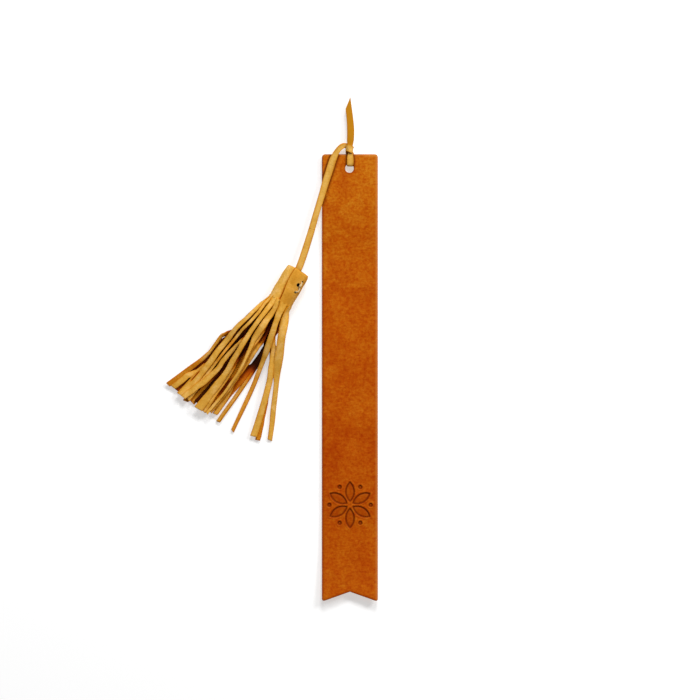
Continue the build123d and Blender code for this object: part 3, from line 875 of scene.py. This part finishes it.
# angle on the roll and the turn it is on (0 is outermost), twist half way and at the tip in degrees;
# then stops by distance from the waist: width, lift, nudge across, least and most shade, and a slit
strandForms = {
    "strand_21": {
        "angle": 68, "turn": 0, "twist": (14, 30),
        "width": [(0, 3.9), (3, 3.3), (4.5, 2.8), (9, 2.35), (13.6, 2.7), (20.5, 2.65), (23, 2.6),
            (27, 2.1), (41, 2.0), (60, 1.7)],
        "lift": [(4, 0), (16, 1.2), (34, 1.2), (60, 0)],
        "nudge": [(0, 0), (2.3, 0.2), (4.5, 0.1), (9.1, 0.5), (13.6, 0.65), (18, 0.45), (21.5, 0.3),
            (27, 0.2), (34, 0), (60, 0)],
        "shade": [(28, 0, 1.0), (36, 0.14, 0.5), (60, 0.14, 0.4)]},
    "strand_18": {
        "angle": 21, "turn": 0, "twist": (8, -12),
        "width": [(0, 4.2), (6.8, 4.2), (9.1, 3.8), (11.4, 3.55), (13.6, 3.6), (18, 3.95), (22, 4.2),
            (25, 4.2), (34, 2.4), (60, 2.2)],
        "lift": [(4, 0), (16, 0.9), (34, 0.9), (60, 0)],
        "nudge": [(0, 0), (1.4, -0.3), (2.7, -0.35), (4.5, -0.2), (9.1, -0.7), (13.6, -0.9),
            (20.5, -0.6), (27, -0.9), (34, -0.4), (42, -0.4), (52, 0)]},
    "strand_16": {
        "angle": -2, "turn": 0, "twist": (-6, 4),
        "width": [(3, 2.6), (30, 2.6), (50, 3.0)],
        "lift": [(4, 0), (12, 1.4), (18, 2.5), (28, 2.7), (36, 1.6), (60, 0)],
        "nudge": [(0, 0), (4, -1.2), (9, -3.5), (11.4, -3.05), (12.6, -3.1), (13.6, -3.6), (14.4, -3.9),
            (16, -3.9), (17.3, -3.3), (18.4, -2.8), (20.5, -1.5), (27, -0.8), (34, -0.1), (58, 0.6)],
        "shade": [(13, 0.3, 1.0), (17, 0, 0.35), (60, 0, 0.3)]},
    "strand_06": {
        "angle": -17, "turn": 0, "twist": (30, 24),
        "width": [(3, 2.6), (9, 2.4), (60, 2.3)],
        "nudge": [(0, 0), (4, -0.6), (9, -2.0), (13.6, -2.9), (16.4, -3.1), (18.2, -2.6), (20.5, -2.3),
            (22.7, -1.7), (25, -1.4), (29, -0.8), (33, -1.3), (37, -1.6), (41, -1.4), (44, -0.9),
            (48, -0.5), (54, 0.3), (58, 0.8)],
        "shade": [(36, 0, 1.0), (42, 0.2, 0.6), (60, 0.2, 0.5)]},
    "strand_05": {
        "angle": -50, "turn": 0, "twist": (40, 54),
        "width": [(3, 2.6), (9, 2.2), (60, 2.1)],
        "shade": [(0, 0.9, 1.0), (31, 0.95, 1.0), (36, 0.3, 0.8), (41, 0.05, 0.35), (60, 0, 0.25)]},
    "strand_02": {
        "angle": -82, "turn": 0, "twist": (12, 8),
        "width": [(3, 2.6), (9, 2.4), (31.5, 2.4), (33.2, 3.5), (40, 3.4), (44, 2.8), (48, 2.4),
            (60, 2.4)],
        "nudge": [(0, 0), (8, 0.5), (13.6, 0.9), (18.2, 1.2), (19.4, 1.5), (20.5, 2.1), (23.6, 1.9),
            (31.5, 1.43), (33.2, 0.78), (38, 0.45), (42, 0.3), (48, 0)],
        "shade": [(0, 0.9, 1.0), (30, 0.97, 1.0), (36, 0.46, 0.76), (42, 0.34, 0.55), (60, 0.3, 0.6)]},
    "strand_01": {
        "angle": -115, "turn": 0, "twist": (-8, 8),
        "width": [(3, 2.6), (9, 2.7), (44, 2.7), (52, 3.1)],
        "nudge": [(14, 0), (21, -1.2), (28, -1.3), (34, -0.9), (44, -0.2), (54, -0.8), (60, -0.8)],
        "shade": [(34, 0.4, 1.0), (40, 0.42, 0.9), (44, 0.3, 0.75), (48, 0.2, 0.55), (60, 0.15, 0.45)]},
    "strand_04": {
        "angle": -146, "turn": 0, "twist": (-10, 6),
        "width": [(3, 2.4), (9, 2.5), (52, 2.6)],
        "lift": [(38, 0), (45, 1.9), (54, 1.9), (60, 1.2)],
        "nudge": [(37, 0), (42, 1.5), (46.5, 1.6), (49, 0.6), (50.6, -0.2), (54, 0), (60, -0.1)],
        "shade": [(38, 0.2, 1.0), (44, 0.0, 0.15), (60, 0, 0.1)]},
    "strand_10": {
        "angle": -172, "turn": 0, "twist": (-44, -16),
        "width": [(0, 2.2), (9, 1.6), (20, 1.2), (25, 1.6), (30, 1.3), (34, 1.1), (41, 1.8), (46, 2.2),
            (56, 2.3)],
        "nudge": [(0, 0), (8, 0.3), (20, 1.9), (22.7, 1.8), (25, 0.6), (27.3, -0.5), (32, -0.4),
            (37, 0), (56, 0)],
        "shade": [(8, 0.3, 0.7), (14, 0, 1.0), (36, 0, 0.5), (44, 0.2, 0.5), (60, 0.2, 0.45)]},
    "strand_17": {
        "angle": 172, "turn": 0, "twist": (14, 6),
        "width": [(0, 2.2), (4.5, 1.95), (9, 1.6), (13.6, 1.6), (20.5, 2.05), (27, 2.45), (40, 2.6),
            (45, 2.8), (50, 3.9), (60, 4.0)],
        "lift": [(3, 0), (8, 0.3), (14, 1.2), (20, 1.6), (34, 1.6), (60, 0)],
        "nudge": [(0, 0), (2.3, -0.5), (4.5, -0.8), (6.8, -0.3), (9.1, 0.15), (13.6, 0.55), (20.5, 0.2),
            (27, 0.4), (34, 0), (41, 0.5), (46, 0.6), (50, 0.45), (56, 0.45), (60, 0.35)],
        "slit": [(45.2, -14.9), (52.6, -16.2)]},
    "strand_13": {
        "angle": 149, "turn": 0, "twist": (12, 10),
        "width": [(0, 2.2), (4.5, 1.6), (9, 1.3), (13.6, 1.2), (20, 1.05), (27, 1.15), (34, 0.95),
            (44, 1.3), (54, 2.3)],
        "lift": [(2, 0.5), (5, 1.4), (9, 2.2), (16, 2.8), (34, 2.8), (60, 0)],
        "nudge": [(0, 0), (4.5, -0.05), (6.8, 0.35), (9.1, 0.78), (13.6, 0.72), (20.5, 0.2), (27, 0.3),
            (41, 0.3), (60, 0.1)],
        "shade": [(0, 0, 1), (24, 0, 1), (27, 0.14, 1), (36, 0.14, 1), (42, 0, 1), (60, 0, 1)]},
    "strand_20": {
        "angle": 119, "turn": 0, "twist": (14, -6),
        "width": [(0, 3.0), (4.5, 2.3), (9, 2.1), (13.6, 2.05), (20, 2.1), (27, 2.35), (41, 2.6),
            (50, 3.5), (57, 4.2)],
        "lift": [(4, 0), (16, 2.5), (34, 2.5), (60, 0)],
        "nudge": [(0, 0), (4.5, 0.02), (9.1, 0.6), (13.6, 0.65), (20.5, 0.45), (27, 0.15), (34, -0.3),
            (41, 0), (60, 0)]},
    "strand_19": {
        "angle": 94, "turn": 0.6, "twist": (8, 14),
        "width": [(0, 2.6), (4.5, 2.05), (9, 2.6), (13.6, 3.05), (19, 2.55), (22.7, 2.0), (27, 1.25),
            (34, 0.75), (60, 1.1)],
        "lift": [(4, 0), (16, 2.6), (34, 2.6), (60, 0)],
        "nudge": [(2, 0), (4.5, 0.12), (9.1, 0.32), (13.6, 0.55), (20.5, 0.25), (24, 0.5), (27, 0.5),
            (34, 0.3), (41, 0.2), (50, 1.0), (60, 1.2)]},
    "strand_14": {
        "angle": 140, "turn": 1, "twist": (-18, 6),
        "width": [(3, 1.9), (9, 2.3), (18, 2.0), (22.7, 1.05), (25.9, 1.1), (27.3, 1.25), (30, 1.75),
            (32.7, 2.0), (38, 2.3), (52, 2.6)],
        "lift": [(4, -0.5), (12, -1.2), (19, -1.0), (22.7, 1.0), (26, 1.9), (36, 1.3), (60, 0)],
        "nudge": [(18, 0), (22.7, 0.75), (24.1, 0.45), (25.9, 0.36), (27.3, 0.12), (30, 0.06),
            (32.7, -0.05), (36, -0.02), (41, 0.7), (48, 0.45), (54, -0.65), (60, -1.5)],
        "shade": [(20, 0.85, 1.0), (22.7, 0.3, 0.7), (24, 0.02, 0.25), (26, 0, 0.1), (60, 0, 0.1)]},
    "strand_15": {
        "angle": 62, "turn": 1, "twist": (22, 30),
        "width": [(3, 1.9), (9, 2.3), (60, 2.2)],
        "lift": [(4, 0), (12, -0.3), (18, 0.6), (23, 1.6), (34, 1.6), (60, 0)],
        "nudge": [(2, 0), (5, -1.3), (9.1, -2.2), (13.6, -1.9), (16.4, -1.65), (20, -1.78), (22, -1.95),
            (25, -2.2), (27.3, -2.1), (30.5, -1.7), (34, -1.4), (41, -0.5), (48, 0)],
        "shade": [(8, 0.5, 1.0), (13, 0.08, 0.45), (24, 0.05, 0.35), (30, 0.02, 0.2), (34, 0, 0.08),
            (40, 0, 0.08), (46, 0, 0.3), (60, 0, 0.3)]},
    "strand_12": {
        "angle": 25, "turn": 1, "twist": (14, 10),
        "width": [(3, 2.1), (9, 2.5), (52, 2.3)],
        "lift": [(4, 0), (16, -1.0), (20, -0.5), (23, 1.4), (27, 2.4), (31, 2.2), (36, 1.9), (41, 1.4),
            (48, 0.4), (60, 0)],
        "nudge": [(0, 0), (4, -0.3), (9.1, -0.35), (13.6, 0.55), (18.2, 1.1), (20.5, 1.3), (22.7, 0.8),
            (28, 0.3), (31, -0.1), (33.6, -0.6), (36.4, -0.9), (39, -1.35), (43, -1.3), (48, -0.4),
            (52, 0)],
        "shade": [(16, 0.6, 1.0), (18.5, 0.4, 0.85), (20, 0.3, 0.8), (23, 0.02, 0.3), (34, 0, 0.25),
            (38, 0.02, 0.4), (42, 0.04, 0.48), (60, 0.04, 0.48)]},
    "strand_03": {
        "angle": -20, "turn": 1, "twist": (10, 30),
        "width": [(3, 2.1), (9, 2.6), (60, 2.6)],
        "lift": [(4, 0), (16, 0.6), (28, 0.6), (36, 1.8), (54, 1.5), (60, 0.4)],
        "nudge": [(20, 0), (27, 0.5), (40, 0.5), (50, 1.0), (60, 1.1)],
        "shade": [(10, 0.4, 0.72), (16, 0.5, 0.78), (20, 0.6, 1.0), (26, 0.46, 0.86), (30, 0.22, 0.45),
            (36, 0.14, 0.32), (40, 0.14, 0.34), (43.5, 0.5, 0.8), (49, 0.5, 0.8), (52, 0.2, 0.4),
            (60, 0.10, 0.34)]},
    "strand_09": {
        "angle": -65, "turn": 1, "twist": (8, 6),
        "width": [(3, 2.1), (9, 2.7), (60, 2.7)],
        "nudge": [(40, 0), (48, -0.8), (60, -1.2)],
        "shade": [(40, 0, 1.0), (48, 0.9, 1.0), (60, 0.9, 1.0)]},
    "strand_08": {
        "angle": -110, "turn": 1, "twist": (10, 8),
        "width": [(3, 2.1), (9, 2.7), (24, 2.7), (30, 3.6), (44, 3.6), (52, 3.2), (60, 2.5)],
        "nudge": [(10, 0), (15, -0.7), (20, -0.9), (27, -1.7), (34, -1.5), (41, -1.3), (48, -1.2),
            (54, -1.0), (60, -1.0)],
        "shade": [(8, 0.4, 0.7), (17, 0.5, 0.75), (22, 0.6, 1.0), (36, 0.6, 1.0), (44, 0.85, 1.0),
            (56, 0.8, 1.0), (59.5, 0.1, 0.3)]},
    "strand_07": {
        "angle": -155, "turn": 1, "twist": (-12, 8),
        "width": [(3, 2.1), (9, 2.7), (44, 2.6), (49, 3.6), (60, 3.3)],
        "lift": [(42, 0), (46, -0.7), (60, -0.7)],
        "nudge": [(24, 0), (30, -1.1), (34, -0.6), (41, -0.4), (46.5, -1.0), (49.5, 0), (53, 0.1),
            (60, 0.1)],
        "shade": [(8, 0.5, 0.72), (15, 0.64, 0.84), (30, 0.76, 0.88), (54, 0.74, 0.86),
            (59, 0.62, 0.8)]},
    "strand_11": {
        "angle": 110, "turn": 2, "twist": (12, 10),
        "width": [(3, 1.9), (9, 2.5), (60, 2.5)],
        "nudge": [(34, 0), (38, 0.4), (42, 0.6), (48, 0.6), (60, 1.3)],
        "shade": [(10, 0.4, 0.76), (18, 0.5, 0.8), (21.5, 0.6, 1.0), (30, 0.5, 1.0), (35, 0.14, 0.5),
            (40, 0.02, 0.2), (60, 0.04, 0.2)],
        "lift": [(30, 0), (38, 1.4), (54, 1.2), (60, 0.3)]},
}


def solidLine(node, marks):
    # middle of a strand's solid at distances from the waist
    mesh = nodes[node].data
    co = readPoints(nodes[node]) / mm - waistPoint
    dist, across, height = co @ wayAlong, co @ wayAcross, co[:, 2]
    ends = np.empty(len(mesh.edges) * 2, dtype=int)
    mesh.edges.foreach_get("vertices", ends)
    ends = ends.reshape(-1, 2)
    a, b = ends[:, 0], ends[:, 1]
    found = []
    for mark in marks:
        hit = (dist[a] - mark) * (dist[b] - mark) < 0
        if not hit.any():
            continue
        part = (mark - dist[a[hit]]) / (dist[b[hit]] - dist[a[hit]])
        u = across[a[hit]] + part * (across[b[hit]] - across[a[hit]])
        z = height[a[hit]] + part * (height[b[hit]] - height[a[hit]])
        found.append((mark, (u.min() + u.max()) / 2, (z.min() + z.max()) / 2))
    return np.array(found), dist.max()


def smoothLine(x, stops):
    # eases from stop to stop
    stops = np.asarray(stops, dtype=float)
    ticks = np.interp(x, stops[:, 0], np.arange(len(stops)))
    low = np.clip(np.floor(ticks).astype(int), 0, len(stops) - 2)
    return stops[low, 1] + (stops[low + 1, 1] - stops[low, 1]) * smoothStep(0, 1, ticks - low)


def strandSections(node, form, spec):
    line, longest = solidLine(node, np.arange(1.0, 66.0, spec["markStep"]))
    line = line[line[:, 0] < longest - 1.6]
    grow = (line[-1] - line[-4]) / (line[-1, 0] - line[-4, 0])
    line = np.vstack([line, line[-1] + grow * (longest - 0.5 - line[-1, 0])])
    d = np.linspace(-0.5, line[-1, 0], spec["rows"])
    angle, flat = form["angle"], [(0, 0), (60, 0)]
    turns = (spec["seamAngle"] - angle) % 360 / 360 + form["turn"]
    radius = tassel["outerRadius"] - tassel["pitch"] * turns
    rootU, rootZ = rollPlace(angle, radius * barrel(np.array(-0.3)))
    flare = np.clip(d, 0, None) * spec["flare"]
    outU, outZ = math.cos(math.radians(angle)), math.sin(math.radians(angle))
    ease = smoothStep(spec["leave"], spec["settle"], d)
    u = (rootU + flare * outU) * (1 - ease) + np.interp(d, line[:, 0], line[:, 1]) * ease
    z = (rootZ + flare * outZ * 0.4) * (1 - ease) + np.interp(d, line[:, 0], line[:, 2]) * ease
    u = u + smoothLine(d, form.get("nudge", flat)) * smoothStep(0, 2.5, d)
    z = z + smoothLine(d, form.get("lift", flat)) * smoothStep(0, 3, d)
    # the strand's outer face looks outward at the roll, and up where it lies
    rootTurn = (angle - 90 + 180) % 360 - 180
    twist = np.interp(d / line[-1, 0], [0, 0.45, 1], [0, *form["twist"]])
    facing = rootTurn * (1 - smoothStep(0.5, spec["settle"] + 3, d)) + twist * smoothStep(3, 20, d)
    return d, u, z, facing, smoothLine(d, form["width"])


def makeStrand(node, lie, spec, number, columns):
    d, u, z, facing, width = lie
    rng = np.random.default_rng(100 + number)
    wobble = np.interp(d, np.linspace(0, 64, 9), rng.normal(0, spec["wobble"], 9)) * smoothStep(4, 16, d)
    tilt = np.radians(facing)
    lowest = spec["rest"] * np.abs(np.cos(tilt)) + width / 2 * np.abs(np.sin(tilt))
    centres = tasselPlace(d, u + wobble, np.maximum(z, lowest))
    normals = np.cos(tilt)[:, None] * wayUp - np.sin(tilt)[:, None] * wayAcross
    uneven = np.interp(d, np.linspace(0, 64, 12), rng.normal(0, spec["uneven"], 12))
    width = width * (1 + smoothStep(3, 9, d) * uneven)
    slant = float(rng.uniform(0.25, 0.9)) * (1 if rng.random() > 0.5 else -1)
    return makeStrap("strand" + node[-2:], centres * mm, normals, width * mm, spec["thick"] * mm,
                     (strapFace, strapBack, strapEdge), across=columns, slantEnd=slant * mm,
                     crown=spec["crown"], rim=spec["edgeRound"])


def paintCoverShade(strand, node, lies, spec):
    # painted shade: leather lying under its neighbours is darkened
    co = readPoints(strand) / mm - waistPoint
    d, u, z = co @ wayAlong, co @ wayAcross, co[:, 2]
    cover = np.zeros(len(co))
    for other, (ds, us, zs, facing, width) in lies.items():
        if other == node:
            continue
        aside = np.abs(u - np.interp(d, ds, us))
        above = np.interp(d, ds, zs) - z
        half = np.interp(d, ds, width) / 2
        reach = half + spec["shadeMargin"] + np.clip(spec["shadeSlope"] * above, 0, spec["shadeMost"])
        under = (1 - smoothStep(0, 1, (aside - half * 0.7) / (reach - half * 0.7))) * (d < ds[-1])
        cover = np.maximum(cover, under * smoothStep(spec["shadeFrom"], spec["shadeFull"], above))
    shade = np.array(strandForms[node].get("shade", [(0, 0, 1), (60, 0, 1)]), dtype=float)
    least, most = smoothLine(d, shade[:, :2]), smoothLine(d, shade[:, ::2])
    cover = least + (most - least) * cover
    # a slit is pressed in a little and painted dark with shade
    if "slit" in strandForms[node]:
        places, across = np.array(strandForms[node]["slit"]).T
        ease = spec["slitEase"]
        ends = smoothStep(places[0], places[0] + ease, d) * (1 - smoothStep(places[1] - ease, places[1], d))
        dip = ends * np.exp(-((u - np.interp(d, places, across)) / spec["slitWidth"]) ** 2)
        cover = np.maximum(cover, spec["slitShade"] * dip)
        writePoints(strand, (co + waistPoint - spec["slitDepth"] * dip[:, None] * wayUp) * mm)
    storeValue(strand, "paintedShade", cover * smoothStep(1.0, 5.0, d))


bodies = frame["record"]["behaviour"]["bodies"]
bodyOf = {node: body for body, members in bodies.items() for node in members}
lies = {node: strandSections(node, form, strandSize) for node, form in strandForms.items()}
for number, node in enumerate(strandForms):
    columns = strandSize["slitColumns" if "slit" in strandForms[node] else "columns"]
    strand = makeStrand(node, lies[node], strandSize, number, columns)
    paintCoverShade(strand, node, lies, strandSize)
    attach(strand, bodyOf[node])
    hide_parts(node)
print("strands made:", len(strandForms))


# floor, light and camera

studio = {
    "floorSize": 6, "floorZ": -0.00006, "floorTone": 0.60, "floorGlow": 0.51, "fill": 0.14,
    # place, size and power of each soft lamp, and where they all point
    "lamps": [((-0.65, 0.60, 0.80), 0.42, 1.4), ((0.66, 0.54, 0.80), 0.42, 7.4),
              ((0.12, 0.80, 0.84), 0.36, 8.6)],
    "lampsAt": (0, 0.01, 0),
    # the camera looks straight down from where the view is this wide
    "viewX": 0.00005, "viewY": 0.01268, "viewWidth": 0.31818, "lens": 400, "sensor": 36,
}


def makeStudio(spec):
    deselectAll()
    bpy.ops.mesh.primitive_plane_add(size=spec["floorSize"], location=(0, 0, spec["floorZ"]))
    floor = bpy.context.object
    floor.name = "floor"
    bpy.ops.object.transform_apply(location=True)
    material, tree, shader = newMaterial("paleFloor")
    tone = (spec["floorTone"],) * 3 + (1,)
    setSockets(shader, {"Base Color": tone, "Roughness": 0.9, "Specular IOR Level": 0.0,
                        "Emission Color": (1, 1, 1, 1), "Emission Strength": spec["floorGlow"]})
    floor.data.materials.append(material)
    for place, size, power in spec["lamps"]:
        lamp = bpy.data.lights.new("softbox", "AREA")
        lamp.shape = "DISK"
        lamp.size = size
        lamp.energy = power
        lampObject = bpy.data.objects.new("softbox", lamp)
        lampObject.location = place
        aim = Vector(spec["lampsAt"]) - lampObject.location
        lampObject.rotation_euler = aim.to_track_quat("-Z", "Y").to_euler()
        bpy.context.collection.objects.link(lampObject)
    world = bpy.data.worlds.new("studio")
    world.use_nodes = True
    setSockets(world.node_tree.nodes["Background"], {"Color": (1, 1, 1, 1), "Strength": spec["fill"]})
    bpy.context.scene.world = world
    bpy.context.scene.view_settings.view_transform = "Standard"
    camera = bpy.data.cameras.new("camera")
    camera.lens = spec["lens"]
    camera.sensor_width = spec["sensor"]
    cameraObject = bpy.data.objects.new("camera", camera)
    away = spec["viewWidth"] / 2 / (spec["sensor"] / 2 / spec["lens"])
    cameraObject.location = (spec["viewX"], spec["viewY"], away)
    bpy.context.collection.objects.link(cameraObject)
    bpy.context.scene.camera = cameraObject


makeStudio(studio)
